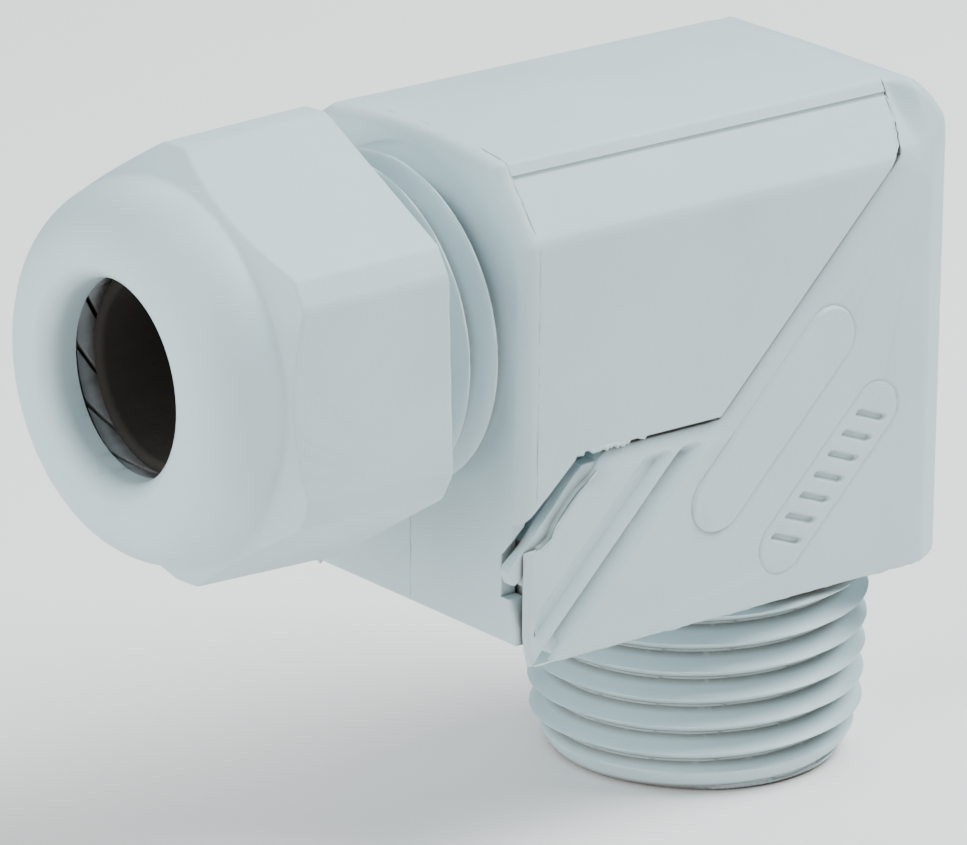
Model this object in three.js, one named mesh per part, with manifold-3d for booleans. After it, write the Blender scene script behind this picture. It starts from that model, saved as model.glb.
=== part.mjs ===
// Right-angle liquid-tight cable gland with a half-inch taper pipe thread, in a hinged two-part elbow.
// Millimetres, +Z up. The origin is on the pipe thread's axis, in the elbow's bottom face.
// The pipe thread points down (-Z) and the gland points along -X. Turning the dome nut clockwise,
// seen from the nose, drives it towards the elbow (+X).
import * as THREE from "three";
import { mergeVertices } from "three/addons/utils/BufferGeometryUtils.js";
import Module from "manifold-3d";

const wasm = await Module();
wasm.setup();

// ---- driving dimensions ----
const GAP = 0.3; // clearance between separate pieces
const ROUND_SEGMENTS = 48;
const CUT_MARGIN = 2; // how far a cutting tool runs past what it cuts

// elbow block
const BODY_WIDTH = 21.5; // between the two side faces
const BODY_HEIGHT = 31.08; // top of the crown
const BODY_BACK = 11.23; // x of the back face
const PLATE_FACE = -22.92; // x of the front plate's face
const WALL = 2.15;
const FLOOR = 2.2;
// Upper edges of each half as [y, z], going out from the middle: top, sloping band, side face.
// The near side is -Y. The top drops from its middle by `crown` times y squared.
const HALF_WIDTH = BODY_WIDTH / 2;
const GLAND_SECTION = {
  crown: { near: 0.011, far: 0.0087 },
  near: [[-7.5, 30.46], [-8, 29.65], [-HALF_WIDTH, 26.2]],
  far: [[8.4, 30.466], [HALF_WIDTH, 28.9]],
};
const ENTRY_SECTION = {
  crown: { near: 0, far: 0 },
  near: [[-8.55, BODY_HEIGHT], [-HALF_WIDTH, 25.6]],
  far: [[7.5, BODY_HEIGHT], [HALF_WIDTH, 28.9]],
};
const BACK_RADIUS = 4.5; // top back corner
const BACK_CHAMFER = { x: 2.34, y: 1.21 }; // upright edges of the back face
const FOOT_CHAMFER = 1.2; // bottom back edge
const FRONT_FOOT = { depth: 1.8, height: 1.2 }; // step under the entry half's front wall

// parting line between the two halves, seen from the side as [x, z], hinge end first
const HINGE_X = 7;
const SEAM = [
  [HINGE_X, BODY_HEIGHT + CUT_MARGIN],
  [HINGE_X, 29.2],
  [6.3, 26.6],
  [-8.1, 12.2],
  [-17.2, 12.2],
  [-21.5, 7.9],
];
const SEAM_FRONT = SEAM.at(-1)[0];

// front plate skirt and the latch of the entry half
const SKIRT_BACK = -21.8;
const SKIRT_BOTTOM = 1.2;
const CHEEK_FRONT = -22.6; // front of the thin cheeks either side of the skirt
const CHEEK_THICKNESS = 0.5;
const CHEEK_TOP = 6.6;
const NOTCH = { depth: 1.75, bottom: 3.7, top: 8.2 }; // cut into each side of the skirt
const LATCH = { tip: -23.2, bottom: 5.9, top: 7.2, thickness: 1.4 };

// hinge web, a thin strip that joins the two halves across the top
const WEB = { width: 0.9, thickness: 0.6, length: 14, z: 30.3 };
const WEB_REBATE = { halfWidth: 0.75, depth: 0.6 };

// half-inch taper pipe thread
const PIPE = { crest: 10.7, pitch: 1.8143, depth: 1.4, taper: 1 / 32, length: 12.9, bore: 7.6 };
const PIPE_FIRST_CREST = -0.49;
const PIPE_END = { radius: 8.95, slope: 0.58 }; // chamfer at the thread's lower end

// gland stub on the front plate
const AXIS_Z = 19.64; // height of the gland's axis
const STUB = { crest: 10.2, root: 9.3, pitch: 2.07, boss: 9.7, end: -34, bore: 8.3, throat: 7.5 };
const STUB_FIRST_CREST = -24.5;
const STUB_SEAT = -24.3; // where the wide bore steps down to the throat
const STUB_BOSS_LENGTH = 0.5; // plain length before the first thread

// dome nut, as [x, radius] profiles about the gland's axis
const NUT = {
  rear: -29.64,
  acrossFlatsRear: 24.6,
  acrossFlatsFront: 23.8,
  cornerFlat: 2,
  tilt: THREE.MathUtils.degToRad(-2.7),
  front: -45.6,
  shoulder: { x: -39.9, r: 13.5 },
  crease: { x: -41.2, r: 11.6 },
  faceRadius: 7.7,
  threadBore: 10.55,
  threadEnd: -40.4,
  cone: { x: -42.9, r: 7.75 },
  holeRear: -43.1,
  hole: 6.05,
  lipRadius: 1.4,
};

// clamping cage and sealing sleeve
const CAGE = {
  rear: -31,
  front: -42.6,
  outer: 7.95,
  inner: 6.95,
  tipOuter: 7.35,
  tipInner: 6.6,
  tipLength: 2,
  fingers: 14,
  slotRear: -34.5,
  slotWidth: 0.8,
};
const SEAL = { rear: -31.4, front: -41.8, outer: 6.3, inner: 5.3 };

// ---- materials ----
const polyamide = new THREE.MeshStandardMaterial({ color: 0xc4d2d6, roughness: 0.55, metalness: 0 });
const cagePolyamide = new THREE.MeshStandardMaterial({ color: 0xb9c4c6, roughness: 0.6, metalness: 0 });
const sealRubber = new THREE.MeshStandardMaterial({ color: 0x2a2320, roughness: 0.8, metalness: 0 });

// ---- helpers ----
const X = new THREE.Vector3(1, 0, 0);
const Y = new THREE.Vector3(0, 1, 0);
const Z = new THREE.Vector3(0, 0, 1);

// Six times the signed volume under the triangles: negative when the faces point inwards.
function signedVolume(positions, triangles) {
  const corner = [new THREE.Vector3(), new THREE.Vector3(), new THREE.Vector3()];
  let sum = 0;
  for (let i = 0; i < triangles.length; i += 3) {
    for (let k = 0; k < 3; k += 1) {
      corner[k].fromArray(positions, triangles[i + k] * 3);
    }
    sum += corner[0].dot(corner[1].cross(corner[2]));
  }
  return sum;
}

// A closed solid from a three.js geometry.
function solidOf(geometry) {
  const bare = geometry.clone();
  bare.deleteAttribute("normal");
  bare.deleteAttribute("uv");
  const merged = mergeVertices(bare, 1e-4);
  const triangles = [];
  const index = merged.index.array;
  for (let i = 0; i < index.length; i += 3) {
    const [a, b, c] = [index[i], index[i + 1], index[i + 2]];
    if (a !== b && b !== c && c !== a) {
      triangles.push(a, b, c);
    }
  }
  const positions = Float32Array.from(merged.attributes.position.array);
  if (signedVolume(positions, triangles) < 0) {
    triangles.reverse();
  }
  const triVerts = Uint32Array.from(triangles);
  return new wasm.Manifold(new wasm.Mesh({ numProp: 3, vertProperties: positions, triVerts }));
}

function meshOf(name, solid, material) {
  const { vertProperties, triVerts } = solid.getMesh();
  const geometry = new THREE.BufferGeometry();
  geometry.setAttribute("position", new THREE.BufferAttribute(vertProperties, 3));
  geometry.setIndex(new THREE.BufferAttribute(triVerts, 1));
  geometry.computeVertexNormals();
  const mesh = new THREE.Mesh(geometry, material);
  mesh.name = name;
  return mesh;
}

function extrude(shape, depth) {
  return new THREE.ExtrudeGeometry(shape, { depth, bevelEnabled: false, curveSegments: 10 });
}

function shapeOf(points) {
  return new THREE.Shape(points.map(([u, v]) => new THREE.Vector2(u, v)));
}

// A side outline in [x, z], centred on the y = 0 plane.
function acrossY(shape, width) {
  const geometry = extrude(shape, width);
  geometry.translate(0, 0, -width / 2);
  geometry.applyMatrix4(new THREE.Matrix4().makeBasis(X, Z, Y.clone().negate()));
  return solidOf(geometry);
}

// A front outline in [y, z], from one x to another.
function alongX(shape, from, to) {
  const geometry = extrude(shape, to - from);
  geometry.applyMatrix4(new THREE.Matrix4().makeBasis(Y, Z, X));
  geometry.translate(from, 0, 0);
  return solidOf(geometry);
}

function box([x0, x1], [y0, y1], [z0, z1]) {
  const geometry = new THREE.BoxGeometry(x1 - x0, y1 - y0, z1 - z0);
  geometry.translate((x0 + x1) / 2, (y0 + y1) / 2, (z0 + z1) / 2);
  return solidOf(geometry);
}

// A closed profile of [radius, axial] points, turned about the pipe thread's axis.
function turnedAboutZ(profile) {
  const points = profile.map(([r, z]) => new THREE.Vector2(r, z));
  const geometry = new THREE.LatheGeometry([...points, points[0].clone()], ROUND_SEGMENTS);
  geometry.rotateX(Math.PI / 2);
  return solidOf(geometry);
}

// A closed profile of [x, radius] points, turned about the gland's axis.
function turnedAboutGland(profile) {
  const points = profile.map(([x, r]) => new THREE.Vector2(r, x));
  const geometry = new THREE.LatheGeometry([...points, points[0].clone()], ROUND_SEGMENTS);
  geometry.rotateZ(-Math.PI / 2);
  geometry.translate(0, 0, AXIS_Z);
  return solidOf(geometry);
}

function arcPoints(centre, radius, fromDegrees, toDegrees, steps) {
  const points = [];
  for (let i = 0; i <= steps; i += 1) {
    const angle = THREE.MathUtils.degToRad(fromDegrees + ((toDegrees - fromDegrees) * i) / steps);
    points.push([centre[0] + radius[0] * Math.cos(angle), centre[1] + radius[1] * Math.sin(angle)]);
  }
  return points;
}

// ---- elbow block, before it is parted ----
function elbowBlock({ crown, near, far }) {
  const side = new THREE.Shape();
  side.moveTo(PLATE_FACE, 0);
  side.lineTo(BODY_BACK - FOOT_CHAMFER, 0);
  side.lineTo(BODY_BACK, FOOT_CHAMFER);
  side.lineTo(BODY_BACK, BODY_HEIGHT - BACK_RADIUS);
  side.absarc(BODY_BACK - BACK_RADIUS, BODY_HEIGHT - BACK_RADIUS, BACK_RADIUS, 0, Math.PI / 2, false);
  side.lineTo(PLATE_FACE, BODY_HEIGHT);

  const half = HALF_WIDTH;
  const top = [-0.66, -0.33, 0, 0.33, 0.66].map((share) => {
    const y = Math.abs(share) * (share < 0 ? near : far)[0][0];
    return [y, BODY_HEIGHT - (share < 0 ? crown.near : crown.far) * y ** 2];
  });
  const section = shapeOf([[half, 0], [-half, 0], ...[...near].reverse(), ...top, ...far]);
  const plan = shapeOf([
    [PLATE_FACE, -half],
    [BODY_BACK - BACK_CHAMFER.x, -half],
    [BODY_BACK, -half + BACK_CHAMFER.y],
    [BODY_BACK, half - BACK_CHAMFER.y],
    [BODY_BACK - BACK_CHAMFER.x, half],
    [PLATE_FACE, half],
  ]);
  return acrossY(side, BODY_WIDTH)
    .intersect(alongX(section, PLATE_FACE - 1, BODY_BACK + 1))
    .intersect(solidOf(extrude(plan, BODY_HEIGHT)));
}

// Everything above the seam, moved up and forward by `lift`.
function aboveSeam(lift) {
  const far = PLATE_FACE - CUT_MARGIN;
  const seam = SEAM.map(([x, z]) => [x - lift, z + lift]);
  const foot = [SKIRT_BACK + GAP - lift, SKIRT_BOTTOM - GAP + lift];
  const outline = [...seam, foot, [far, foot[1]], [far, BODY_HEIGHT + CUT_MARGIN + lift]];
  return acrossY(shapeOf(outline), BODY_WIDTH + 2 * CUT_MARGIN);
}

function webRebate() {
  const half = WEB_REBATE.halfWidth;
  return box(
    [HINGE_X - half, HINGE_X + half],
    [-BODY_WIDTH, BODY_WIDTH],
    [WEB.z - WEB_REBATE.depth, BODY_HEIGHT + CUT_MARGIN],
  );
}

// ---- entry half: pipe thread, floor, back and side cheeks ----
function pipeThreadProfile() {
  const profile = [[PIPE.bore, FLOOR / 2], [PIPE.crest, FLOOR / 2]];
  const turns = Math.floor((PIPE.length + PIPE_FIRST_CREST) / PIPE.pitch);
  for (let i = 0; i <= turns; i += 1) {
    const z = PIPE_FIRST_CREST - i * PIPE.pitch;
    const crest = PIPE.crest + PIPE.taper * z;
    const chamfer = PIPE_END.radius + PIPE_END.slope * (z + PIPE.length);
    profile.push([Math.min(crest, chamfer), z]);
    profile.push([crest - PIPE.depth, z - PIPE.pitch / 2]);
  }
  profile.push([PIPE_END.radius, -PIPE.length]);
  profile.push([PIPE.bore, -PIPE.length]);
  return profile;
}

// One side's cheek beyond the front wall, with the latch that hooks through the skirt's notch.
function cheekAndLatch(side) {
  const outer = (side * BODY_WIDTH) / 2;
  const y = (inset) => [outer - side * inset, outer].sort((a, b) => a - b);
  const cheek = box([CHEEK_FRONT, SEAM_FRONT], y(CHEEK_THICKNESS), [0, CHEEK_TOP]);
  const latch = box([LATCH.tip, SEAM_FRONT], y(LATCH.thickness), [LATCH.bottom, LATCH.top]);
  return cheek.add(latch);
}

function entryHousing() {
  const cavityHalf = BODY_WIDTH / 2 - WALL;
  const front = SEAM_FRONT;
  const behindSkirt = box([front, BODY_BACK + 1], [-BODY_WIDTH, BODY_WIDTH], [-1, BODY_HEIGHT + 1]);
  const cheekInside = BODY_WIDTH / 2 - CHEEK_THICKNESS;
  const frontFoot = box(
    [front - 1, front + FRONT_FOOT.depth],
    [-cheekInside, cheekInside],
    [-1, FRONT_FOOT.height],
  );
  const cavity = box(
    [front + WALL, BODY_BACK - WALL],
    [-cavityHalf, cavityHalf],
    [FLOOR, BODY_HEIGHT - WALL],
  );
  const [boreBottom, boreTop] = [-PIPE.length - CUT_MARGIN, FLOOR + CUT_MARGIN];
  const bore = turnedAboutZ([
    [0, boreBottom],
    [PIPE.bore, boreBottom],
    [PIPE.bore, boreTop],
    [0, boreTop],
  ]);
  return elbowBlock(ENTRY_SECTION)
    .intersect(behindSkirt)
    .subtract(aboveSeam(0))
    .subtract(cavity)
    .subtract(frontFoot)
    .subtract(webRebate())
    .subtract(bore)
    .add(turnedAboutZ(pipeThreadProfile()))
    .add(cheekAndLatch(-1))
    .add(cheekAndLatch(1));
}

// ---- gland half: top, upper sides, front plate and threaded stub ----
function stubProfile() {
  const insidePlate = PLATE_FACE + WALL / 2;
  const profile = [
    [insidePlate, STUB.throat],
    [insidePlate, STUB.boss],
    [PLATE_FACE - STUB_BOSS_LENGTH, STUB.boss],
  ];
  for (let x = STUB_FIRST_CREST; x > STUB.end + STUB.pitch / 2; x -= STUB.pitch) {
    profile.push([x + STUB.pitch / 4, STUB.root]);
    profile.push([x, STUB.crest]);
    profile.push([x - STUB.pitch / 4, STUB.root]);
  }
  profile.push([STUB.end, STUB.root]);
  profile.push([STUB.end, STUB.bore]);
  profile.push([STUB_SEAT, STUB.bore]);
  profile.push([STUB_SEAT, STUB.throat]);
  return profile;
}

// Clearance in the skirt for one cheek and its latch.
function skirtClearance(side) {
  const outer = (side * BODY_WIDTH) / 2;
  const y = (inset) => [outer - side * inset, outer + side].sort((a, b) => a - b);
  const x = [PLATE_FACE - 1, SKIRT_BACK + 1];
  const behindCheek = box(x, y(CHEEK_THICKNESS + GAP), [0, NOTCH.top]);
  return behindCheek.add(box(x, y(NOTCH.depth), [NOTCH.bottom, NOTCH.top]));
}

function glandHousing() {
  const cavityHalf = BODY_WIDTH / 2 - WALL;
  const cavity = box(
    [PLATE_FACE + WALL, BODY_BACK],
    [-cavityHalf, cavityHalf],
    [FLOOR, BODY_HEIGHT - WALL],
  );
  const [throatFront, throatRear] = [PLATE_FACE - CUT_MARGIN, PLATE_FACE + WALL + CUT_MARGIN];
  const throat = turnedAboutGland([
    [throatFront, 0],
    [throatRear, 0],
    [throatRear, STUB.throat],
    [throatFront, STUB.throat],
  ]);
  return elbowBlock(GLAND_SECTION)
    .intersect(aboveSeam(GAP))
    .subtract(cavity)
    .subtract(webRebate())
    .subtract(throat)
    .subtract(skirtClearance(-1))
    .subtract(skirtClearance(1))
    .add(turnedAboutGland(stubProfile()));
}

function hingeWeb() {
  const { width, thickness, length, z } = WEB;
  return box(
    [HINGE_X - width / 2, HINGE_X + width / 2],
    [-length / 2, length / 2],
    [z - thickness / 2, z + thickness / 2],
  );
}

// ---- dome nut ----
// Hexagon with flat-cut corners as [y, z] about the gland's axis, one corner up before the tilt.
function nutOutline(acrossFlats) {
  const cornerRadius = acrossFlats / Math.sqrt(3);
  const cut = NUT.cornerFlat / 2 / Math.tan(Math.PI / 3);
  const points = [];
  for (let i = 0; i < 6; i += 1) {
    const angle = (i * Math.PI) / 3 + Math.PI / 2 + NUT.tilt;
    const radius = cornerRadius - cut;
    for (const side of [-1, 1]) {
      const offset = (side * NUT.cornerFlat) / 2;
      const y = radius * Math.cos(angle) - offset * Math.sin(angle);
      const z = radius * Math.sin(angle) + offset * Math.cos(angle);
      points.push([y, z]);
    }
  }
  return points;
}

function domeNut() {
  const geometry = extrude(shapeOf(nutOutline(NUT.acrossFlatsRear)), NUT.rear - NUT.front);
  geometry.applyMatrix4(new THREE.Matrix4().makeBasis(Y, Z, X));
  const position = geometry.attributes.position;
  for (let i = 0; i < position.count; i += 1) {
    const atFront = position.getX(i) < 1;
    const scale = atFront ? NUT.acrossFlatsFront / NUT.acrossFlatsRear : 1;
    position.setXYZ(
      i,
      position.getX(i) + NUT.front,
      position.getY(i) * scale,
      position.getZ(i) * scale + AXIS_Z,
    );
  }
  const domeCentre = [NUT.crease.x, NUT.faceRadius];
  const domeReach = [NUT.crease.x - NUT.front, NUT.crease.r - NUT.faceRadius];
  const envelope = turnedAboutGland([
    [NUT.rear + 1, 0],
    [NUT.rear + 1, NUT.shoulder.r + 1],
    [NUT.shoulder.x, NUT.shoulder.r + 1],
    [NUT.shoulder.x, NUT.shoulder.r],
    ...arcPoints(domeCentre, domeReach, 90, 180, 7),
    [NUT.front, 0],
  ]);
  const lipCentre = [NUT.front + NUT.lipRadius, NUT.hole + NUT.lipRadius];
  const inside = turnedAboutGland([
    [NUT.rear + 1, 0],
    [NUT.rear + 1, NUT.threadBore],
    [NUT.threadEnd, NUT.threadBore],
    [NUT.cone.x, NUT.cone.r],
    [NUT.holeRear, NUT.hole],
    ...arcPoints(lipCentre, [NUT.lipRadius, NUT.lipRadius], 270, 180, 4),
    [NUT.front - 1, NUT.hole + NUT.lipRadius],
    [NUT.front - 1, 0],
  ]);
  return solidOf(geometry).intersect(envelope).subtract(inside);
}

// ---- clamping cage and sealing sleeve ----
function clampingCage() {
  const ring = turnedAboutGland([
    [CAGE.rear, CAGE.inner],
    [CAGE.rear, CAGE.outer],
    [CAGE.front + CAGE.tipLength, CAGE.outer],
    [CAGE.front, CAGE.tipOuter],
    [CAGE.front, CAGE.tipInner],
    [CAGE.front + CAGE.tipLength, CAGE.inner],
  ]);
  let cage = ring;
  for (let i = 0; i < CAGE.fingers; i += 1) {
    const slot = new THREE.BoxGeometry(CAGE.slotRear - CAGE.front + 1, CAGE.slotWidth, CAGE.outer + 1);
    slot.translate((CAGE.slotRear + CAGE.front - 1) / 2, 0, (CAGE.outer + 1) / 2);
    slot.rotateX((2 * Math.PI * i) / CAGE.fingers);
    slot.translate(0, 0, AXIS_Z);
    cage = cage.subtract(solidOf(slot));
  }
  return cage;
}

function sealingSleeve() {
  return turnedAboutGland([
    [SEAL.rear, SEAL.inner],
    [SEAL.rear, SEAL.outer],
    [SEAL.front, SEAL.outer],
    [SEAL.front, SEAL.inner],
  ]);
}

// ---- assembly ----
const gland = new THREE.Group();
gland.add(meshOf("entry_housing", entryHousing(), polyamide));
gland.add(meshOf("gland_housing", glandHousing(), polyamide));
gland.add(meshOf("hinge_web", hingeWeb(), polyamide));
gland.add(meshOf("dome_nut", domeNut(), polyamide));
gland.add(meshOf("clamping_cage", clampingCage(), cagePolyamide));
gland.add(meshOf("sealing_sleeve", sealingSleeve(), sealRubber));

export default gland;
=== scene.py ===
"""Right-angle cable gland: fine surfaces, materials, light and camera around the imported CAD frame.

The solids are distance fields in millimetres, in the CAD model's own axes: the pipe thread runs down
along -Z and the gland points along -X. The near side is -Y. A field is negative inside its solid, and
each one is turned into a mesh that rides on its CAD body.
"""

import math

import bpy
import numpy as np
from mathutils import Matrix, Vector


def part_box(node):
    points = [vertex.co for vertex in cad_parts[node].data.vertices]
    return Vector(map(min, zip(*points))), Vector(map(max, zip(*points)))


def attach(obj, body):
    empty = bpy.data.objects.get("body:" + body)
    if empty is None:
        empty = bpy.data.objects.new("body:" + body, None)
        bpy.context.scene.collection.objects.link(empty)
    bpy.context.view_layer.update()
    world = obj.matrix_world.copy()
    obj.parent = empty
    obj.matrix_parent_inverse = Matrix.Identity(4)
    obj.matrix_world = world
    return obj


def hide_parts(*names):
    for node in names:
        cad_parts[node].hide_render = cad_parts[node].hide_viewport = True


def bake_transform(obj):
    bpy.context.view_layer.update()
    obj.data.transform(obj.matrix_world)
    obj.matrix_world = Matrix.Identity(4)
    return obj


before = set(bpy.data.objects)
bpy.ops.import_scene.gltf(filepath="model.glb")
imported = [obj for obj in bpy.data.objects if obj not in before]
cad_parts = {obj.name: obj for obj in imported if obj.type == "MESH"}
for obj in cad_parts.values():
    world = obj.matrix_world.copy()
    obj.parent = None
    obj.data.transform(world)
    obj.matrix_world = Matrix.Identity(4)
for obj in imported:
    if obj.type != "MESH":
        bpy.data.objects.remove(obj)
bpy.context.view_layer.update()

MM = 0.001


def millimetres(corner):
    return [value / MM for value in corner]


# ---- sizes in millimetres, from the CAD nodes where they give them ----
ENTRY_LOW, ENTRY_HIGH = (millimetres(c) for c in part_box("entry_housing"))
GLAND_LOW, GLAND_HIGH = (millimetres(c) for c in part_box("gland_housing"))
NUT_LOW, NUT_HIGH = (millimetres(c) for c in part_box("dome_nut"))
CAGE_LOW, CAGE_HIGH = (millimetres(c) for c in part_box("clamping_cage"))
SEAL_LOW, SEAL_HIGH = (millimetres(c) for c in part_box("sealing_sleeve"))

HALF_WIDTH = ENTRY_HIGH[1]
BACK = ENTRY_HIGH[0]
TOP = GLAND_HIGH[2]
AXIS_Z = (NUT_LOW[2] + NUT_HIGH[2]) / 2
CROWN = {"near": 0.011, "far": 0.0087}  # the top drops by this much times y squared
BACK_RADIUS = 4.5
WALL = 2.15
FLOOR = 2.2

PLATE_FACE = -22.92  # x of the front plate's face
PLATE_SEAM = -21.8  # x of the plate's back, where its rim shows a parting line

# threads: radius over the crests, depth from crest to root, and where along the axis one crest lies
PIPE = {
    "crest": 10.7,
    "pitch": 1.8143,
    "depth": 1.4,
    "taper": 1 / 32,
    "length": -ENTRY_LOW[2],
    "bore": 7.6,
    "crest_at": -2.108,
    "chamfer": ((8.95, ENTRY_LOW[2]), (10.35, -10.5)),
}
STUB = {
    "crest": 10.2,
    "pitch": 2.07,
    "depth": 1.4,
    "end": GLAND_LOW[0],
    "bore": 8.3,
    "throat": 7.5,
    "seat": -24.3,  # where the wide bore steps down to the throat
    "crest_at": -25.6,
}
NUT = {
    "rear": NUT_HIGH[0],
    "front": NUT_LOW[0],
    "hole": 6.05,
    "thread_bore": 10.55,
    "thread_end": -40.4,
    "female_end": -38.5,  # the female thread stops here, short of the plain bore's end
}

# ---- distance fields ----


def carve(a, b, radius=0.0):
    """The common part of two solids, with the edge between them rounded."""
    if np.isscalar(radius) and radius == 0:
        return np.maximum(a, b)
    corner = np.hypot(np.maximum(radius + a, 0), np.maximum(radius + b, 0))
    return np.minimum(-radius, np.maximum(a, b)) + corner


def join(a, b, radius=0.0):
    """Both solids together, with a fillet between them."""
    return -carve(-a, -b, radius)


def cut(a, b, radius=0.0):
    """The first solid less the second."""
    return carve(a, -b, radius)


def beyond(u, v, start, end):
    """Distance to the right of the line from start to end."""
    du, dv = end[0] - start[0], end[1] - start[1]
    length = math.hypot(du, dv)
    return ((u - start[0]) * dv - (v - start[1]) * du) / length


def outline(u, v, points):
    """Distance to a closed outline, negative inside."""
    nearest = np.full(np.shape(u), 1e9, np.float32)
    inside = np.zeros(np.shape(u), bool)
    for (au, av), (bu, bv) in zip(points, points[1:] + points[:1]):
        eu, ev = bu - au, bv - av
        along = np.clip(((u - au) * eu + (v - av) * ev) / (eu * eu + ev * ev), 0, 1)
        nearest = np.minimum(nearest, np.hypot(u - au - along * eu, v - av - along * ev))
        if ev != 0:
            crosses = (av > v) != (bv > v)
            inside ^= crosses & (u < au + (v - av) * eu / ev)
    return np.where(inside, -nearest, nearest)


def slab(value, low, high):
    """Between two parallel planes."""
    return np.maximum(low - value, value - high)


def block(x, y, z, low, high, radius=0.0):
    sides = carve(slab(x, low[0], high[0]), slab(y, low[1], high[1]), radius)
    return carve(sides, slab(z, low[2], high[2]), radius)


def stadium(u, v, centre, length, width):
    """Distance to a pill-shaped outline that runs up to the right at 45 degrees."""
    along = ((u - centre[0]) + (v - centre[1])) / math.sqrt(2)
    across = ((v - centre[1]) - (u - centre[0])) / math.sqrt(2)
    reach = (length - width) / 2
    return np.hypot(along - np.clip(along, -reach, reach), across) - width / 2


def about_gland(y, z):
    """Radius and angle about the gland's axis."""
    return np.hypot(y, z - AXIS_Z), np.arctan2(z - AXIS_Z, y)


THREAD_SLOPE = 0.55  # keeps a thread's field no steeper than true distance


def thread(radius, turn, axial, crest, depth, pitch, crest_at, roundness):
    """A right-handed 60 degree thread along the axial direction, its crests and roots rounded off."""
    phase = (axial - crest_at - pitch * turn / (2 * math.pi)) / pitch
    share = np.abs(phase - np.round(phase)) * 2
    straight = np.clip((share - 0.03) / 0.9, 0, 1)
    waved = 0.5 - 0.5 * np.cos(math.pi * share)
    fall = straight * (1 - roundness) + waved * roundness
    return (radius - crest + depth * fall) * THREAD_SLOPE


# ---- from a field to a mesh ----
BLOCK = 4  # grid points along a block's edge
BLOCK_REACH = 2.6  # a block nearer than this many half diagonals to the surface is worked out in full
BLOCKS_AT_ONCE = 12000
LEAST_SLOPE = 0.05
MIDDLE_PULL = 0.04  # how strongly a vertex is drawn to the middle of its surface points
OVERSHOOT = 0.15  # how far out of its cell a vertex may lie, in steps


def sample(field, low, step, counts):
    """The field on a grid. Only the blocks that the surface may cross are worked out in full."""
    blocks = [-(-n // BLOCK) for n in counts]
    centres = [low[k] + step * (BLOCK * np.arange(blocks[k]) + (BLOCK - 1) / 2) for k in range(3)]
    gx, gy, gz = np.meshgrid(*centres, indexing="ij")
    coarse = field(gx.ravel(), gy.ravel(), gz.ravel()).reshape(gx.shape).astype(np.float32)
    reach = BLOCK_REACH * step * BLOCK * math.sqrt(3) / 2
    grid = np.repeat(np.repeat(np.repeat(coarse, BLOCK, 0), BLOCK, 1), BLOCK, 2)
    near = np.argwhere(np.abs(coarse) < reach)
    offsets = np.arange(BLOCK)
    ox, oy, oz = (o.ravel() for o in np.meshgrid(offsets, offsets, offsets, indexing="ij"))
    for chunk in np.array_split(near, max(1, len(near) // BLOCKS_AT_ONCE)):
        ix = (chunk[:, 0:1] * BLOCK + ox).ravel()
        iy = (chunk[:, 1:2] * BLOCK + oy).ravel()
        iz = (chunk[:, 2:3] * BLOCK + oz).ravel()
        grid[ix, iy, iz] = field(low[0] + ix * step, low[1] + iy * step, low[2] + iz * step)
    return grid


def gradient(field, points, reach=0.004):
    slopes = []
    for axis in range(3):
        shift = np.zeros(3)
        shift[axis] = reach
        ahead, behind = points + shift, points - shift
        slopes.append(field(*ahead.T) - field(*behind.T))
    return np.stack(slopes, 1) / (2 * reach)


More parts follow.
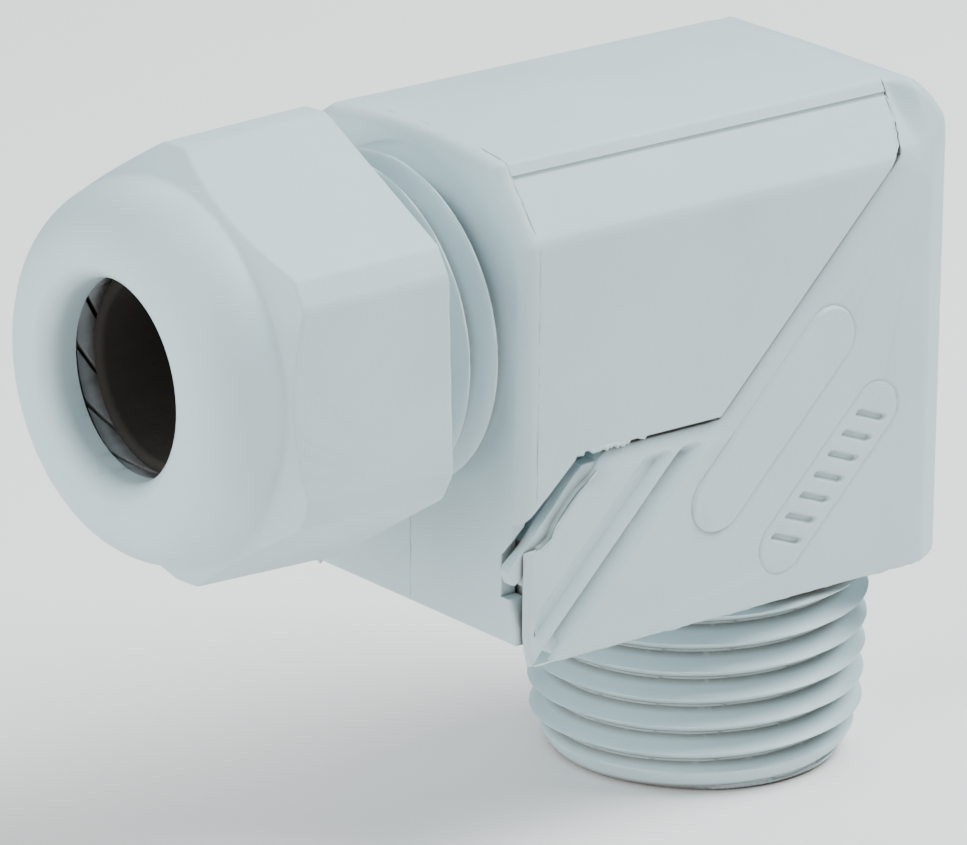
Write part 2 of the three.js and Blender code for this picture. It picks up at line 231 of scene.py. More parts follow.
def contour(field, grid, low, step):
    """Vertices and quads of the field's zero surface. Each vertex meets the tangent planes around it, which
    keeps sharp edges sharp."""
    inside = grid < 0
    shape = [n - 1 for n in inside.shape]
    total = np.zeros(shape, np.uint8)
    for c in range(8):
        corner = inside[c & 1 :, (c >> 1) & 1 :, (c >> 2) & 1 :]
        total += corner[: shape[0], : shape[1], : shape[2]]
    cells = np.argwhere((total > 0) & (total < 8))
    index = np.full(shape, -1, np.int32)
    index[tuple(cells.T)] = np.arange(len(cells))
    count = np.zeros(len(cells))
    middle = np.zeros((len(cells), 3))
    square = np.zeros((len(cells), 3, 3))
    target = np.zeros((len(cells), 3))
    quads = []
    for axis in range(3):
        u, v = (axis + 1) % 3, (axis + 2) % 3
        here, there = [slice(1, -1)] * 3, [slice(1, -1)] * 3
        here[axis], there[axis] = slice(0, -1), slice(1, None)
        leaves = inside[tuple(here)] & ~inside[tuple(there)]
        enters = ~inside[tuple(here)] & inside[tuple(there)]
        for change, order in ((leaves, (0, 1, 2, 3)), (enters, (3, 2, 1, 0))):
            at = np.argwhere(change) + 1
            at[:, axis] -= 1
            ahead = at.copy()
            ahead[:, axis] += 1
            start, end = grid[tuple(at.T)], grid[tuple(ahead.T)]
            point = np.array(low) + step * at
            point[:, axis] += step * start / (start - end)
            slope = gradient(field, point)
            length = np.maximum(np.linalg.norm(slope, axis=1), LEAST_SLOPE)[:, None]
            normal = slope / length
            move = field(*point.T)[:, None] / length
            point = point - normal * np.clip(move, -step / 2, step / 2)
            level = (normal * point).sum(1)
            around = []
            for du, dv in ((1, 1), (0, 1), (0, 0), (1, 0)):
                cell = at.copy()
                cell[:, u] -= du
                cell[:, v] -= dv
                owner = index[tuple(cell.T)]
                around.append(owner)
                count += np.bincount(owner, minlength=len(cells))
                for i in range(3):
                    middle[:, i] += np.bincount(owner, point[:, i], len(cells))
                    target[:, i] += np.bincount(owner, normal[:, i] * level, len(cells))
                    for j in range(i, 3):
                        square[:, i, j] += np.bincount(owner, normal[:, i] * normal[:, j], len(cells))
            quads.append(np.stack([around[k] for k in order], 1))
    for i in range(3):
        for j in range(i):
            square[:, i, j] = square[:, j, i]
    middle /= count[:, None]
    pull = MIDDLE_PULL * count
    square += pull[:, None, None] * np.eye(3)
    points = np.linalg.solve(square, (target + pull[:, None] * middle)[..., None])[..., 0]
    corner = np.array(low) + step * cells
    points = np.clip(points, corner - OVERSHOOT * step, corner + (1 + OVERSHOOT) * step)
    return points, np.concatenate(quads)


def link(name, mesh):
    obj = bpy.data.objects.new(name, mesh)
    bpy.context.scene.collection.objects.link(obj)
    return obj


def mesh_of(name, points, faces):
    mesh = bpy.data.meshes.new(name)
    mesh.vertices.add(len(points))
    mesh.vertices.foreach_set("co", np.asarray(points, np.float32).ravel())
    faces = np.asarray(faces, np.int32)
    mesh.loops.add(faces.size)
    mesh.loops.foreach_set("vertex_index", faces.ravel())
    mesh.polygons.add(len(faces))
    mesh.polygons.foreach_set("loop_start", np.arange(len(faces), dtype=np.int32) * faces.shape[1])
    mesh.update(calc_edges=True)
    mesh.validate()
    return mesh


SHARP = math.radians(24)  # edges at a greater angle than this are shaded sharp


def solid(name, field, low, high, step, triangles):
    """A mesh object of the field between two corners, thinned to about so many triangles."""
    margin = 3 * step
    start = [v - margin for v in low]
    counts = [int(math.ceil((h + margin - s) / step)) + 1 for h, s in zip(high, start)]
    points, quads = contour(field, sample(field, start, step, counts), start, step)
    obj = link(name, mesh_of(name, points * MM, quads))
    thin = obj.modifiers.new("thin", "DECIMATE")
    thin.ratio = min(1.0, triangles / (2 * len(quads)))
    thin.use_collapse_triangulate = True
    evaluated = obj.evaluated_get(bpy.context.evaluated_depsgraph_get())
    mesh = bpy.data.meshes.new_from_object(evaluated)
    obj.modifiers.clear()
    obj.data = mesh
    mesh.name = name
    mesh.polygons.foreach_set("use_smooth", np.ones(len(mesh.polygons), bool))
    mesh.set_sharp_from_angle(angle=SHARP)
    print(name, len(quads), "quads,", len(mesh.polygons), "triangles")
    return obj


# ---- elbow halves ----
BAND_TOP = (8.0, 29.65)  # half width and height where the sloping band meets the raised top
BAND_FOOT = (HALF_WIDTH, 26.2)
CROWN_EDGE = (7.5, 30.46)
FAR_BAND = ((HALF_WIDTH, 28.9), (8.4, 30.45))
SHOULDER = ((HALF_WIDTH, 25.6), (8.9, 30.2))  # the entry half's sloping edge, behind the seam
BACK_CHAMFER = ((BACK - 2.34, HALF_WIDTH), (BACK, HALF_WIDTH - 1.21))
FOOT_RADIUS = 1.3
FRONT_WALL = -21.5  # x of the entry half's front wall
BEVEL = {"width": 1.25, "depth": 0.4, "power": 1.1, "low": -18.6, "high": 27.0}  # along the sloping seam
CHEEK_FRONT = -22.65
CHEEK_INSIDE = 10.3
CHEEK_LEAN = ((22.15, 0.0), (22.75, 2.6))
FAR_FOOT = (-21.6, 1.4)  # x and height of the step under the far cheek
ARM_OUTSIDE = 10.2
ARM_INSIDE = 9.35
FAR_ARM_END = -22.85  # the far latch stops level with the plate
HOLLOW_RADIUS = 0.8
PROUD_FROM = 7.5  # x where the entry half's top starts to stand proud of the gland half's

# edges of the two halves along the seam, as [x, z], hinge end first
GLAND_EDGE = [
    (7.34, 45), (7.34, 29.75), (7.3, 29.45), (7.2, 29.2), (7.17, 28.8), (7.08, 28.4), (7.06, 28.1),
    (6.93, 27.8), (6.9, 27.6), (6.74, 27.35), (6.69, 27.1), (6.6, 26.95), (6.45, 26.83), (6.1, 26.5),
    (-7.62, 12.78), (-18.72, 12.78), (-18.96, 12.36), (-20.09, 11.35),
    (-21.59, 9.98), (-22.49, 9.23), (-27, 5.4), (-27, 45),
]
ENTRY_EDGE = [
    (7.42, 45), (7.42, 29.75), (7.37, 29.45), (7.27, 29.2), (7.24, 28.8), (7.15, 28.4), (7.13, 28.1),
    (7.01, 27.8), (6.98, 27.55), (6.82, 27.3), (6.76, 27.06), (6.62, 26.46), (-7.43, 12.41),
    (-16.1, 12.41), (-16.8, 11.95), (-17.2, 11.3),
    (-17.85, 10.72), (-18.5, 10.3), (-19.1, 9.75), (-19.75, 9.05), (-20.25, 8.45), (-20.6, 7.75),
    (-21.1, 7.42), (-21.7, 7.25), (-22.75, 7.2), (-22.75, -3), (15, -3), (15, 45),
]
LATCH_EDGE = ENTRY_EDGE[15:24]  # its worn slope over the latch
# the latch's tongue, which reaches forward from the entry half into the plate's notch
ARM = [
    (-15.6, 11.9), (-17.95, 11.75), (-19.05, 10.73), (-20.17, 9.46), (-20.95, 8.68), (-22.11, 7.4),
    (-23.3, 6.4), (-23.42, 6.1), (-23.38, 5.75), (-23.15, 5.27), (-22.9, 5.2), (-22.6, 5.45), (-22.3, 5.75),
    (-22.1, 4.9), (-21.3, 4.9), (-20.6, 7.2), (-19.9, 8.3), (-18.8, 9.4), (-17.5, 10.4), (-16.4, 11.2),
]
# the part of the plate that reaches down over the front wall, as [y, z]
SKIRT = [(-20, 1.32), (10.1, 1.32), (10.15, 2.4), (9.95, 3.3), (9.6, 4.2), (9.6, 17), (-20, 17)]
# cut into both sides of the skirt for the latch, under a slope through the corner
NOTCH = {
    "inside": 8.83,
    "bottom": 4.15,
    "back": -21.2,
    "corner": (-22.49, HALF_WIDTH, 9.23),
    "slope": (0.511, 0.637, -0.577),
}
FRONT_FOOT = (-19.7, 1.2)  # x and height of the step under the front wall, between the cheeks
PILL_PLAIN = {"centre": (-3.43, 11.8), "length": 16.0, "width": 3.75}
PILL_MARKED = {"centre": (1.15, 7.1), "length": 13.9, "width": 3.55}
STROKE = {"spacing": 1.55, "each_way": 3, "half": 0.22, "reach": 0.85, "slant": 0.45}
STROKE_COS = 0.91  # of the angle that a stroke leans by
PILL_HEIGHT = 0.2
STROKE_DEPTH = 0.28
# depth across the grips, as [z - x, depth]
GRIPS = [
    (19.3, 0.0), (19.7, -0.1), (20.1, -0.08), (20.35, 0.16), (21.2, 0.85), (21.55, 0.95), (21.75, 0.8),
    (22.1, 0.1), (22.3, 0.02), (22.6, 0.0), (23.3, 0.55), (23.6, 0.58), (24.8, 0.3), (24.95, 0.12),
    (25.1, -0.04), (25.3, 0.0),
]
GRIPS_TOP = 11.75
GRIPS_FRONT = -22.3
HINGE_FILM = {"from": 6.15, "to": 8.2, "half": 6.9, "thickness": 0.5}
LID = {"reach": 0.45, "rise": 0.02}  # how the film's top laps over both halves


def crown_level(y, flat=0.0):
    """Height of the top face, levelled off by the share flat."""
    return TOP - np.where(y > 0, CROWN["far"], CROWN["near"]) * y * y * (1 - flat)


def smooth_step(share):
    share = np.clip(share, 0, 1)
    return share * share * (3 - 2 * share)


def top_edges(y, z):
    """The near side's sloping band and the small step up to the crown, and the far side's flatter band."""
    wide = np.abs(y)
    near = np.minimum(beyond(wide, z, BAND_FOOT, BAND_TOP), beyond(wide, z, BAND_TOP, CROWN_EDGE))
    return np.where(y > 0, beyond(wide, z, *FAR_BAND), near)


def top_and_back(x, y, z):
    flat = smooth_step((x - PROUD_FROM) / 1.8)
    return carve(x - BACK, z - crown_level(y, flat), BACK_RADIUS)


def film_rebate(x, y, z, spare):
    """Room in both halves for the film hinge, just under the top face."""
    along = slab(x, HINGE_FILM["from"] - spare, HINGE_FILM["to"] + spare)
    across = np.abs(y) - HINGE_FILM["half"] - spare
    return carve(carve(along, across), -top_and_back(x, y, z) - HINGE_FILM["thickness"] - spare)


def scoops(x, z):
    """Depth of the slanting finger grips in the lower front corner of the side face."""
    rise = z - x
    depth = np.interp(rise, *zip(*GRIPS))
    return depth * smooth_step((GRIPS_TOP - z) / 0.9) * smooth_step((x - GRIPS_FRONT) / 1.2)


def strokes(x, z):
    """A generic mark in place of the moulded size: a row of slanting strokes along the marked pill."""
    cx, cz = PILL_MARKED["centre"]
    along = ((x - cx) + (z - cz)) / math.sqrt(2)
    across = ((z - cz) - (x - cx)) / math.sqrt(2)
    slanted = (along + STROKE["slant"] * across) / STROKE["spacing"]
    nearest = np.clip(np.round(slanted), -STROKE["each_way"], STROKE["each_way"])
    off = (slanted - nearest) * STROKE["spacing"] * STROKE_COS
    return np.hypot(off, np.maximum(np.abs(across) - STROKE["reach"], 0)) - STROKE["half"]


def entry_side(x, z):
    """How far the entry half's side faces stand in from the full width."""
    seam = -outline(x, z, ENTRY_EDGE)
    bevel = np.clip(1 - seam / BEVEL["width"], 0, 1)
    above_latch = np.clip((x - BEVEL["low"]) / 1.2, 0, 1)
    below_shoulder = np.clip((BEVEL["high"] - z) / 1.5, 0, 1)
    depth = BEVEL["depth"] * bevel ** BEVEL["power"] * above_latch * below_shoulder
    grips = scoops(x, z)
    depth = np.where(grips > depth, grips, np.where(depth > 0, depth, grips))
    plain = stadium(x, z, **PILL_PLAIN)
    marked = stadium(x, z, **PILL_MARKED)
    raised = PILL_HEIGHT * np.clip(0.5 - plain / 0.16, 0, 1)
    plain_rim = 0.06 * np.clip(1 - np.abs(plain - 0.1) / 0.15, 0, 1)
    marked_rim = 0.1 * np.clip(1 - np.abs(marked) / 0.15, 0, 1)
    engraved = STROKE_DEPTH * np.clip(0.5 - strokes(x, z) / 0.2, 0, 1)
    return depth - raised + (plain_rim + marked_rim) + engraved


def entry_outside(x, y, z):
    wide = np.abs(y)
    side = wide - HALF_WIDTH + entry_side(x, z)
    proud = smooth_step((x - PROUD_FROM) / 1.6)
    shoulder = beyond(wide, z, *SHOULDER) * proud + top_edges(y, z) * (1 - proud)
    shell = carve(side, shoulder, 0.6)
    shell = carve(shell, -beyond(x, wide, *BACK_CHAMFER), 0.15)
    shell = carve(shell, CHEEK_FRONT - x, 0.85)
    shell = carve(shell, beyond(-x, z, *CHEEK_LEAN), 0.2)
    shell = carve(shell, top_and_back(x, y, z), 0.12 + 0.6 * proud)
    return carve(shell, carve(x - BACK, -z, FOOT_RADIUS), 0.12)


def hollow(x, y, z, front, back):
    """The room inside the elbow."""
    low = (front, -HALF_WIDTH + WALL, FLOOR)
    high = (back, HALF_WIDTH - WALL, TOP - WALL)
    return block(x, y, z, low, high, HOLLOW_RADIUS)


def pipe_thread(x, y, z):
    radius, turn = np.hypot(x, y), np.arctan2(y, x)
    crest = PIPE["crest"] + z * PIPE["taper"]
    flank = thread(radius, turn, z, crest, PIPE["depth"], PIPE["pitch"], PIPE["crest_at"], 0.15)
    stub = carve(flank, beyond(radius, z, *PIPE["chamfer"]), 0.15)
    return carve(stub, slab(z, -PIPE["length"], 1.0), 0.2)


def entry_half(x, y, z):
    wide = np.abs(y)
    skin = outline(x, z, ENTRY_EDGE)
    behind = np.maximum(FRONT_WALL - x, np.minimum(FRONT_FOOT[0] - x, FRONT_FOOT[1] - z))
    front = np.minimum(behind, np.maximum(CHEEK_FRONT - 1 - x, CHEEK_INSIDE - wide))
    far_foot = np.minimum(FAR_FOOT[0] - x, FAR_FOOT[1] - z)
    front = np.where(y > 0, np.maximum(front, far_foot), front)
    part = carve(carve(entry_outside(x, y, z), skin, 0.1), front, 0.15)
    part = cut(part, hollow(x, y, z, FRONT_WALL + WALL, BACK - WALL))
    arm = carve(outline(x, z, ARM), slab(wide, ARM_INSIDE, ARM_OUTSIDE), 0.12)
    arm = np.where(y > 0, np.maximum(arm, FAR_ARM_END - x), arm)
    part = join(part, arm, 0.05)
    part = join(part, pipe_thread(x, y, z), 0.12)
    bore = np.maximum(np.hypot(x, y) - PIPE["bore"], z - FLOOR - 0.5)
    part = cut(part, bore, 0.35)
    return cut(part, film_rebate(x, y, z, -0.02))


def gland_section(y, z):
    wide = np.abs(y)
    side = wide - HALF_WIDTH
    shell = carve(side, top_edges(y, z), 0.25)
    return carve(shell, z - crown_level(y), 0.12)


def stub_thread(x, y, z, spare=0.0):
    radius, turn = about_gland(y, z)
    crest = STUB["crest"] + spare
    return thread(radius, turn, x, crest, STUB["depth"], STUB["pitch"], STUB["crest_at"], 0.7)


def gland_half(x, y, z):
    wide = np.abs(y)
    radius = np.hypot(y, z - AXIS_Z)
    section = gland_section(y, z)
    crease = np.hypot(y + BAND_TOP[0], z - BAND_TOP[1]) - 0.13
    section = cut(section, np.maximum(crease, PLATE_SEAM + 0.1 - x), 0.03)
    plate_face = PLATE_FACE - x
    part = carve(section, plate_face, 1.0)
    skirt = carve(outline(wide, z, SKIRT), slab(x, PLATE_FACE - 2, PLATE_SEAM))
    skirt = carve(skirt, plate_face, 0.3)
    part = carve(part, np.minimum(outline(x, z, GLAND_EDGE), skirt))
    cx, cy, cz = NOTCH["corner"]
    nx, ny, nz = NOTCH["slope"]
    slope = nx * (x - cx) + ny * (wide - cy) + nz * (z - cz)
    notch = carve(carve(NOTCH["inside"] - wide, NOTCH["bottom"] - z), np.maximum(-slope, x - NOTCH["back"]))
    part = cut(part, notch, 0.08)
    part = cut(part, hollow(x, y, z, PLATE_FACE + WALL, BACK + 4))
    male = carve(stub_thread(x, y, z), slab(x, STUB["end"], PLATE_FACE + 1), 0.15)
    male = carve(male, beyond(-x, radius, (-STUB["end"], 9.0), (-STUB["end"] - 1.4, 10.3)), 0.1)
    part = join(part, male, 0.25)
    throat = np.maximum(radius - STUB["throat"], x - PLATE_FACE - WALL - 0.5)
    bore = np.maximum(radius - STUB["bore"], x - STUB["seat"])
    part = cut(part, np.minimum(throat, bore), 0.2)
    return cut(part, film_rebate(x, y, z, -0.02))


def hinge_film(x, y, z):
    """A film just under the top face, with a thin lap over the edges of both halves."""
    reach = LID["reach"]
    along = slab(x, HINGE_FILM["from"] - reach, HINGE_FILM["to"] + reach)
    flat = np.maximum(along, np.abs(y) - HINGE_FILM["half"] - reach)
    taper = np.clip(1 + flat / reach, 0, 1)
    rise = LID["rise"] * (1 - 3 * taper)
    level = top_and_back(x, y, z)
    return np.maximum(flat, np.maximum(level - rise, -level - HINGE_FILM["thickness"]))


# ---- dome nut ----
NUT_TILT = math.radians(-2.7)
NUT_FLATS = {"rear": 24.6, "front": 23.8}
NUT_CORNER_FLAT = 2.0
NUT_CONE = ((-39.9, 13.5), (-41.2, 11.6))
NUT_FACE_RADIUS = 7.7
NUT_LIP = 1.5
NUT_DOME_POWER = 2.1  # 2 would be an ellipse


def lip_points(steps=8):
    """The rounded mouth of the hole, from the hole to the face, as [x, radius]."""
    centre = (NUT["front"] + NUT_LIP, NUT["hole"] + NUT_LIP)
    angles = [math.pi * (1.5 - 0.5 * k / steps) for k in range(steps + 1)]
    return [(centre[0] + NUT_LIP * math.cos(a), centre[1] + NUT_LIP * math.sin(a)) for a in angles]


NUT_BORE = [
    (-20, -3), (-20, NUT["thread_bore"]), (NUT["thread_end"], NUT["thread_bore"]), (-42.9, 7.75),
    (-43.1, NUT["hole"]), *lip_points(), (NUT["front"] - 3, NUT["hole"] + NUT_LIP), (NUT["front"] - 3, -3),
]


def dome_nut(x, y, z):
    radius, turn = about_gland(y, z)
    share = (NUT["rear"] - x) / (NUT["rear"] - NUT["front"])
    across = NUT_FLATS["rear"] + (NUT_FLATS["front"] - NUT_FLATS["rear"]) * share
    sixth = math.pi / 3
    off_flat = (turn - NUT_TILT) % sixth
    off_flat = np.minimum(off_flat, sixth - off_flat)
    flats = radius * np.cos(off_flat) - across / 2
    corners = radius * np.cos(sixth / 2 - off_flat) - (across / math.sqrt(3) - NUT_CORNER_FLAT * 0.29)
    hexagon = carve(flats, corners, 0.16)
    cone = beyond(x, radius, *NUT_CONE)
    hexagon = carve(hexagon, cone, 0.14)
    hexagon = carve(hexagon, x - NUT["rear"], 0.12)
    reach = (NUT_CONE[1][0] - NUT["front"], NUT_CONE[1][1] - NUT_FACE_RADIUS)
    forward = np.maximum(NUT_CONE[1][0] - x, 0) / reach[0]
    outward = np.maximum(radius - NUT_FACE_RADIUS, 0) / reach[1]
    size = (forward**NUT_DOME_POWER + outward**NUT_DOME_POWER) ** (1 / NUT_DOME_POWER)
    dome = (size - 1) * reach[1]
    dome = carve(dome, x - NUT["rear"] + 4)
    part = join(hexagon, dome, 0.22)
    bore = outline(x, radius, NUT_BORE)
    female = carve(stub_thread(x, y, z, 0.22), NUT["female_end"] - x)
    lining = np.maximum(radius - NUT["thread_bore"], slab(x, NUT["female_end"], -20))
    threaded = np.maximum(lining, female)
    bore = np.minimum(np.maximum(bore, x - NUT["female_end"]), threaded)
    return cut(part, bore, 0.1)


# ---- clamping cage and sealing sleeve ----
CAGE = {"fingers": 12, "slot_end": -34.5, "slot_half": 0.13, "slant": 0.2, "radius": 7.0}
CAGE_OUTLINE = [(-31, 6.95), (-31, 7.95), (-40.6, 7.95), (-42.6, 7.35), (-42.6, 6.6), (-40.6, 6.95)]
SEAL_BORE = 5.5
SEAL_OUTSIDE = 6.3


def clamping_cage(x, y, z):
    radius, turn = about_gland(y, z)
    ring = outline(x, radius, CAGE_OUTLINE) - 0.04
    pitch = 2 * math.pi / CAGE["fingers"]
    slanted = turn + CAGE["slant"] * (x - CAGE_LOW[0])
    off = np.abs((slanted / pitch + 0.5) % 1 - 0.5) * pitch * CAGE["radius"]
    lean = math.cos(math.atan(CAGE["slant"] * CAGE["radius"]))
    slot = np.maximum(off * lean - CAGE["slot_half"], x - CAGE["slot_end"])
    return cut(ring, slot, 0.12)


def sealing_sleeve(x, y, z):
    radius, turn = about_gland(y, z)
    across = slab(radius, SEAL_BORE, SEAL_OUTSIDE)
    return carve(across, slab(x, SEAL_LOW[0], SEAL_HIGH[0]), 0.4)


# ---- moulding flash: thin ragged ridges along an edge ----
FLASH_SUNK = 0.06  # how far the strip's foot lies below its path
FLASH_TIP = 0.012  # half the width of its tip


def flash(name, path, out, height, base, seed, raggedness=0.5, spacing=0.09):
    """A closed strip along the path, as wide as base at its foot and narrow at its tip. It stands out by
    about height."""
    noise = np.random.default_rng(seed)
    path = np.array(path, float)
    lengths = np.linalg.norm(np.diff(path, axis=0), axis=1)
    at = np.concatenate([[0], np.cumsum(lengths)])
    count = max(4, int(at[-1] / spacing))
    along = np.linspace(0, at[-1], count)
    centre = np.stack([np.interp(along, at, path[:, k]) for k in range(3)], 1)
    out = np.array(out, float)
    if out.ndim == 2:
        out = np.stack([np.interp(along, at, out[:, k]) for k in range(3)], 1)
    else:
        out = np.repeat(out[None], count, 0)
    out /= np.linalg.norm(out, axis=1)[:, None]
    ahead = np.gradient(centre, axis=0)
    ahead /= np.linalg.norm(ahead, axis=1)[:, None]
    across = np.cross(ahead, out)

    def uneven(size):
        knots = max(3, int(at[-1] / size))
        return np.interp(along, np.linspace(0, at[-1], knots), noise.uniform(-1, 1, knots))

    rough = sum(uneven(size) * weight for size, weight in ((1.3, 0.5), (0.45, 0.35), (0.16, 0.25)))
    lean = 0.5 * base * uneven(0.6)
    ends = np.clip(np.minimum(along, at[-1] - along) / 0.4, 0.05, 1)
    rise = height * ends * np.clip(1 + raggedness * 2 * rough, 0.12, 2.4)
    left = centre - across * base / 2 - out * FLASH_SUNK
    right = centre + across * base / 2 - out * FLASH_SUNK
    tip_left = centre + out * rise[:, None] + across * (lean - FLASH_TIP)[:, None]
    tip_right = centre + out * rise[:, None] + across * (lean + FLASH_TIP)[:, None]
    rings = np.stack([left, tip_left, tip_right, right], 1)
    points = rings.reshape(-1, 3)
    faces = []
    for k in range(count - 1):
        for c in range(4):
            d = (c + 1) % 4
            faces.append((4 * k + c, 4 * k + d, 4 * k + 4 + d, 4 * k + 4 + c))
    last = 4 * (count - 1)
    faces += [(3, 2, 1, 0), (last, last + 1, last + 2, last + 3)]
    mesh = bpy.data.meshes.new(name)
    mesh.from_pydata((points * MM).tolist(), [], faces)
    mesh.update()
    mesh.polygons.foreach_set("use_smooth", np.ones(len(faces), bool))
    return link(name, mesh)


# ---- materials ----
PAINTED_SHADE_REACH = 0.0008  # painted shade: how near a facing surface must be for the plastic's colour to be darkened


def plastic(name, colour, shade, painted_shade, roughness, grain, speckle=0.25):
    """Moulded plastic: a soft mottle between two colours, fine grain, and painted shade, the colour
    darkened in crevices and between parts.
    """
    material = bpy.data.materials.new(name)
    material.use_nodes = True
    nodes, links = material.node_tree.nodes, material.node_tree.links
    shader = nodes["Principled BSDF"]
    shader.inputs["Roughness"].default_value = roughness
    place = nodes.new("ShaderNodeTexCoord")

    def noise(scale, detail, rough=0.5):
        node = nodes.new("ShaderNodeTexNoise")
        node.inputs["Scale"].default_value = scale
        node.inputs["Detail"].default_value = detail
        node.inputs["Roughness"].default_value = rough
        links.new(place.outputs["Object"], node.inputs["Vector"])
        return node

    mottle = noise(130, 4)
    fine = noise(2600, 3, 0.6)
    blend = nodes.new("ShaderNodeMath")
    blend.operation = "MULTIPLY_ADD"
    links.new(fine.outputs["Fac"], blend.inputs[0])
    blend.inputs[1].default_value = speckle
    links.new(mottle.outputs["Fac"], blend.inputs[2])
    ramp = nodes.new("ShaderNodeValToRGB")
    ramp.color_ramp.elements[0].position = 0.35
    ramp.color_ramp.elements[0].color = (*shade, 1)
    ramp.color_ramp.elements[1].position = 0.85
    ramp.color_ramp.elements[1].color = (*colour, 1)
    links.new(blend.outputs[0], ramp.inputs["Fac"])
    # painted shade: ambient occlusion darkens the base colour towards a dark tone in crevices and between
    # parts, where shade falls
    closed_in = nodes.new("ShaderNodeAmbientOcclusion")
    closed_in.samples = 8
    closed_in.inputs["Distance"].default_value = PAINTED_SHADE_REACH
    openness = nodes.new("ShaderNodeMapRange")
    openness.inputs["From Min"].default_value = 0.3
    openness.inputs["From Max"].default_value = 0.77
    links.new(closed_in.outputs["AO"], openness.inputs["Value"])
    painted_shade_mix = nodes.new("ShaderNodeMix")
    painted_shade_mix.data_type = "RGBA"
    links.new(openness.outputs["Result"], painted_shade_mix.inputs["Factor"])
    painted_shade_mix.inputs["A"].default_value = (*painted_shade, 1)
    links.new(ramp.outputs["Color"], painted_shade_mix.inputs["B"])
    links.new(painted_shade_mix.outputs["Result"], shader.inputs["Base Color"])
    bump = nodes.new("ShaderNodeBump")
    bump.inputs["Strength"].default_value = grain
    bump.inputs["Distance"].default_value = 0.00004
    links.new(fine.outputs["Fac"], bump.inputs["Height"])
    links.new(bump.outputs["Normal"], shader.inputs["Normal"])
    return material


# the third colour of each material is painted shade, laid into crevices and between parts
polyamide = plastic(
    "moulded_polyamide",
    colour=(0.555, 0.685, 0.715),
    shade=(0.51, 0.63, 0.66),
    painted_shade=(0.2, 0.178, 0.155),
    roughness=0.5,
    grain=0.35,
)
cage_polyamide = plastic(
    "cage_polyamide",
    colour=(0.52, 0.54, 0.56),
    shade=(0.45, 0.47, 0.49),
    painted_shade=(0.16, 0.145, 0.13),
    roughness=0.45,
    grain=0.3,
)
rubber = plastic(
    "dark_rubber",
    colour=(0.027, 0.021, 0.016),
    shade=(0.021, 0.016, 0.012),
    painted_shade=(0.024, 0.018, 0.014),
    roughness=0.95,
    grain=0.5,
)

# ---- pieces ----
FINE = 0.13  # grid step for the large shells


def place_piece(obj, body, slot, material, *nodes):
    obj.data.materials.append(material)
    if body:
        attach(obj, body)
    if nodes:
        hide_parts(*nodes)
    return obj


entry = solid("entry_shell", entry_half, ENTRY_LOW, ENTRY_HIGH, FINE, 88000)
place_piece(entry, "entry_half", "body_polyamide", polyamide, "entry_housing")

gland = solid("gland_shell", gland_half, GLAND_LOW, GLAND_HIGH, FINE, 80000)
place_piece(gland, "gland_half", "body_polyamide", polyamide, "gland_housing")

nut = solid("dome_nut_shell", dome_nut, NUT_LOW, NUT_HIGH, FINE, 60000)
place_piece(nut, "nut", "body_polyamide", polyamide, "dome_nut")

cage = solid("cage_shell", clamping_cage, CAGE_LOW, CAGE_HIGH, 0.12, 24000)
place_piece(cage, "insert", "cage_polyamide", cage_polyamide, "clamping_cage")

seal = solid("seal_shell", sealing_sleeve, SEAL_LOW, SEAL_HIGH, 0.12, 12000)
place_piece(seal, "insert", "seal_rubber", rubber, "sealing_sleeve")

lap = LID["reach"]
film_low = (HINGE_FILM["from"] - lap, -HINGE_FILM["half"] - lap, crown_level(HINGE_FILM["half"]) - 1.2)
film_high = (HINGE_FILM["to"] + lap, HINGE_FILM["half"] + lap, TOP)
film = solid("hinge_film", hinge_film, film_low, film_high, 0.1, 9000)
place_piece(film, None, "body_polyamide", polyamide, "hinge_web")
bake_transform(film)


def ragged(name, body, path, out, height, base, seed, raggedness):
    """Flash on the near side of the block, its path given with y counted outwards."""
    mirrored = [(x, -y, z) for x, y, z in path]
    piece = flash(name, mirrored, np.array(out, float) * [1, -1, 1], height, base, seed, raggedness)
    place_piece(piece, body, "body_polyamide", polyamide)


ragged(
    "gland_edge_flash",
    "gland_half",
    [(x, HALF_WIDTH - 0.05, z) for x, z in ((-13.2, 12.84), (-18.75, 12.84), (-19.2, 12.2))],
    out=(0, 0.35, -1),
    height=0.26,
    base=0.12,
    seed=11,
    raggedness=0.9,
)
ragged(
    "latch_edge_flash",
    "entry_half",
    [(x, HALF_WIDTH - 0.08, z) for x, z in LATCH_EDGE],
    out=(-0.6, 1, 0.4),
    height=0.2,
    base=0.2,
    seed=21,
    raggedness=0.5,
)
ragged(
    "foot_flash",
    "entry_half",
    [(x, HALF_WIDTH - 0.06, 0.02) for x in (-21.9, BACK - 2.6)],
    out=(0, 0.35, -1),
    height=0.05,
    base=0.05,
    seed=31,
    raggedness=0.9,
)
ragged(
    "shoulder_flash",
    "gland_half",
    [(7.28, 8.15, 29.5), (7.12, 8.9, 28.5), (6.8, 9.5, 27.75), (6.32, 10.3, 26.75)],
    out=(0.8, 0.5, 0.35),
    height=0.08,
    base=0.1,
    seed=51,
    raggedness=0.8,
)

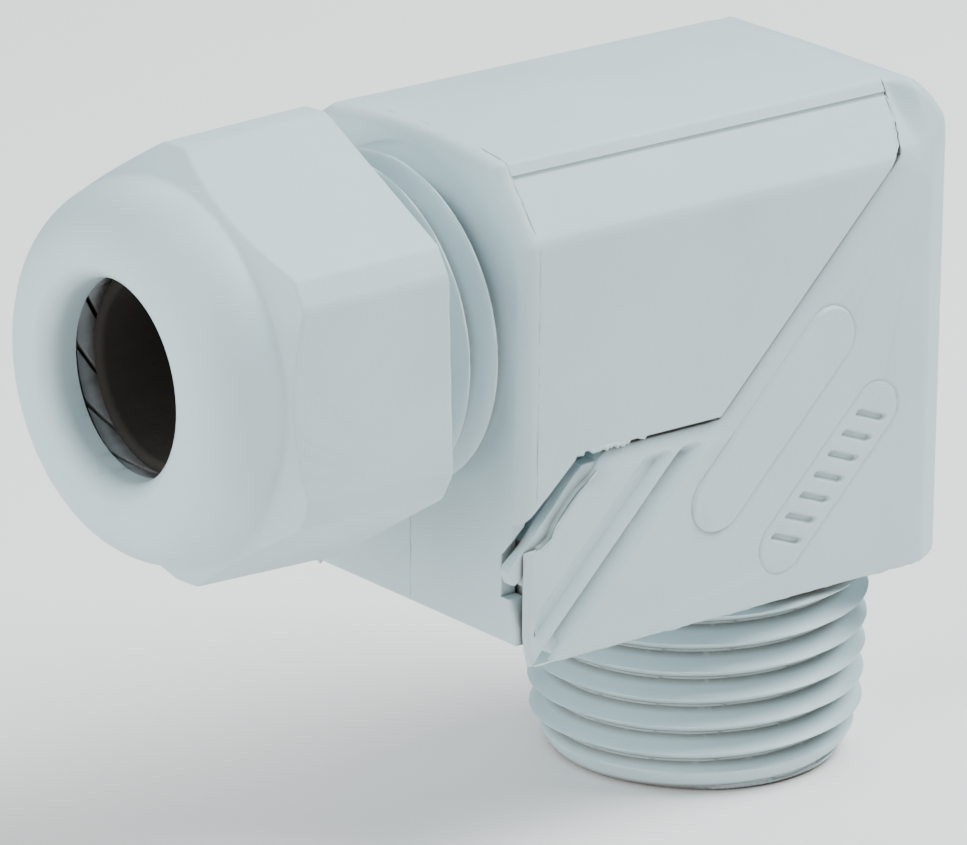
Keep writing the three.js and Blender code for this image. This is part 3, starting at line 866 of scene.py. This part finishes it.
# parting lines of the front plate: round its rim, and up its middle above and below the stub
rim = [
    (HALF_WIDTH, 10.3), (HALF_WIDTH, 25.9), (10.2, 26.9), (8.35, 29.2), (8.0, 29.7), (7.5, 30.46),
    (6, 30.7), (3.5, 30.95), (0, TOP),
]
rim_out = [(1, 0), (1, 0.1), (0.8, 0.6), (0.8, 0.6), (0.95, 0.3), (0.5, 0.85), (0.12, 1), (0.06, 1), (0, 1)]
rim_points = [(PLATE_SEAM, -y, z) for y, z in rim] + [(PLATE_SEAM, y, z) for y, z in rim[-2::-1]]
rim_outward = [(0, -y, z) for y, z in rim_out] + [(0, y, z) for y, z in rim_out[-2::-1]]
rim_line = flash("plate_rim_line", rim_points, rim_outward, 0.035, 0.07, 71, 0.8)
place_piece(rim_line, "gland_half", "body_polyamide", polyamide)
for name, heights in (("upper", (30.3, 29.25)), ("lower", (10.0, 1.5))):
    line = [(PLATE_FACE, -0.2, z) for z in heights]
    ridge = flash(f"plate_middle_line_{name}", line, (-1, 0, 0), 0.05, 0.12, 81, 0.35)
    place_piece(ridge, "gland_half", "body_polyamide", polyamide)

# ---- floor, light and camera ----
FLOOR_HALF = 4  # metres
corners = [(-FLOOR_HALF, -FLOOR_HALF, 0), (FLOOR_HALF, -FLOOR_HALF, 0)]
corners += [(FLOOR_HALF, FLOOR_HALF, 0), (-FLOOR_HALF, FLOOR_HALF, 0)]
floor = link("floor", mesh_of("floor", np.array(corners, float), [(0, 1, 2, 3)]))
floor.location.z = ENTRY_LOW[2] * MM - 0.0001
paper = bpy.data.materials.new("white_paper")
paper.use_nodes = True
paper.node_tree.nodes["Principled BSDF"].inputs["Base Color"].default_value = (0.97, 0.925, 0.915, 1)
paper.node_tree.nodes["Principled BSDF"].inputs["Roughness"].default_value = 0.9
floor.data.materials.append(paper)

world = bpy.data.worlds.new("studio")
world.use_nodes = True
world.node_tree.nodes["Background"].inputs["Color"].default_value = (1, 0.99, 0.975, 1)
world.node_tree.nodes["Background"].inputs["Strength"].default_value = 0.05
bpy.context.scene.world = world


DAYLIGHT = (0.925, 1.0, 1.015)
LIT_POINT = Vector((-0.015, 0, 0.012))


def softbox(name, azimuth, elevation, distance, size, power):
    """An area light that looks at the middle of the object."""
    light = bpy.data.lights.new(name, "AREA")
    light.shape = "RECTANGLE"
    light.size, light.size_y = size
    light.energy = power
    light.color = DAYLIGHT
    obj = bpy.data.objects.new(name, light)
    bpy.context.scene.collection.objects.link(obj)
    a, e = math.radians(azimuth), math.radians(elevation)
    towards = Vector((math.sin(a) * math.cos(e), -math.cos(a) * math.cos(e), math.sin(e)))
    obj.location = LIT_POINT + towards * distance
    obj.rotation_mode = "QUATERNION"
    obj.rotation_quaternion = towards.to_track_quat("Z", "Y")
    return obj


softbox("upper_right", 60, 55, 0.5, (0.35, 0.35), 4.8)
softbox("left_front", -75, 25, 0.55, (0.3, 0.4), 1.9)
softbox("left", -115, 20, 0.55, (0.3, 0.5), 2.0)
softbox("behind", 140, 50, 0.5, (0.4, 0.4), 1.1)

CAMERA_PLACE = (-308.839, -358.384, 170.287)  # millimetres
CAMERA_AZIMUTH, CAMERA_ELEVATION, CAMERA_ROLL = -39.136, 18.972, 0.724
azimuth, elevation, roll = (math.radians(v) for v in (CAMERA_AZIMUTH, CAMERA_ELEVATION, CAMERA_ROLL))
right = Vector((math.cos(azimuth), math.sin(azimuth), 0))
back = Vector(
    (math.sin(azimuth) * math.cos(elevation), -math.cos(azimuth) * math.cos(elevation), math.sin(elevation))
)
above = back.cross(right)
tilted_right = right * math.cos(roll) + above * math.sin(roll)
tilted_above = above * math.cos(roll) - right * math.sin(roll)
camera_data = bpy.data.cameras.new("camera")
camera_data.lens = 302.2
camera_data.sensor_width = 36
camera_data.clip_start, camera_data.clip_end = 0.02, 20
camera = bpy.data.objects.new("camera", camera_data)
bpy.context.scene.collection.objects.link(camera)
axes = Matrix((tilted_right, tilted_above, back)).transposed()
camera.matrix_world = Matrix.Translation(Vector(CAMERA_PLACE) * MM) @ axes.to_4x4()
bpy.context.scene.camera = camera

bpy.context.view_layer.update()
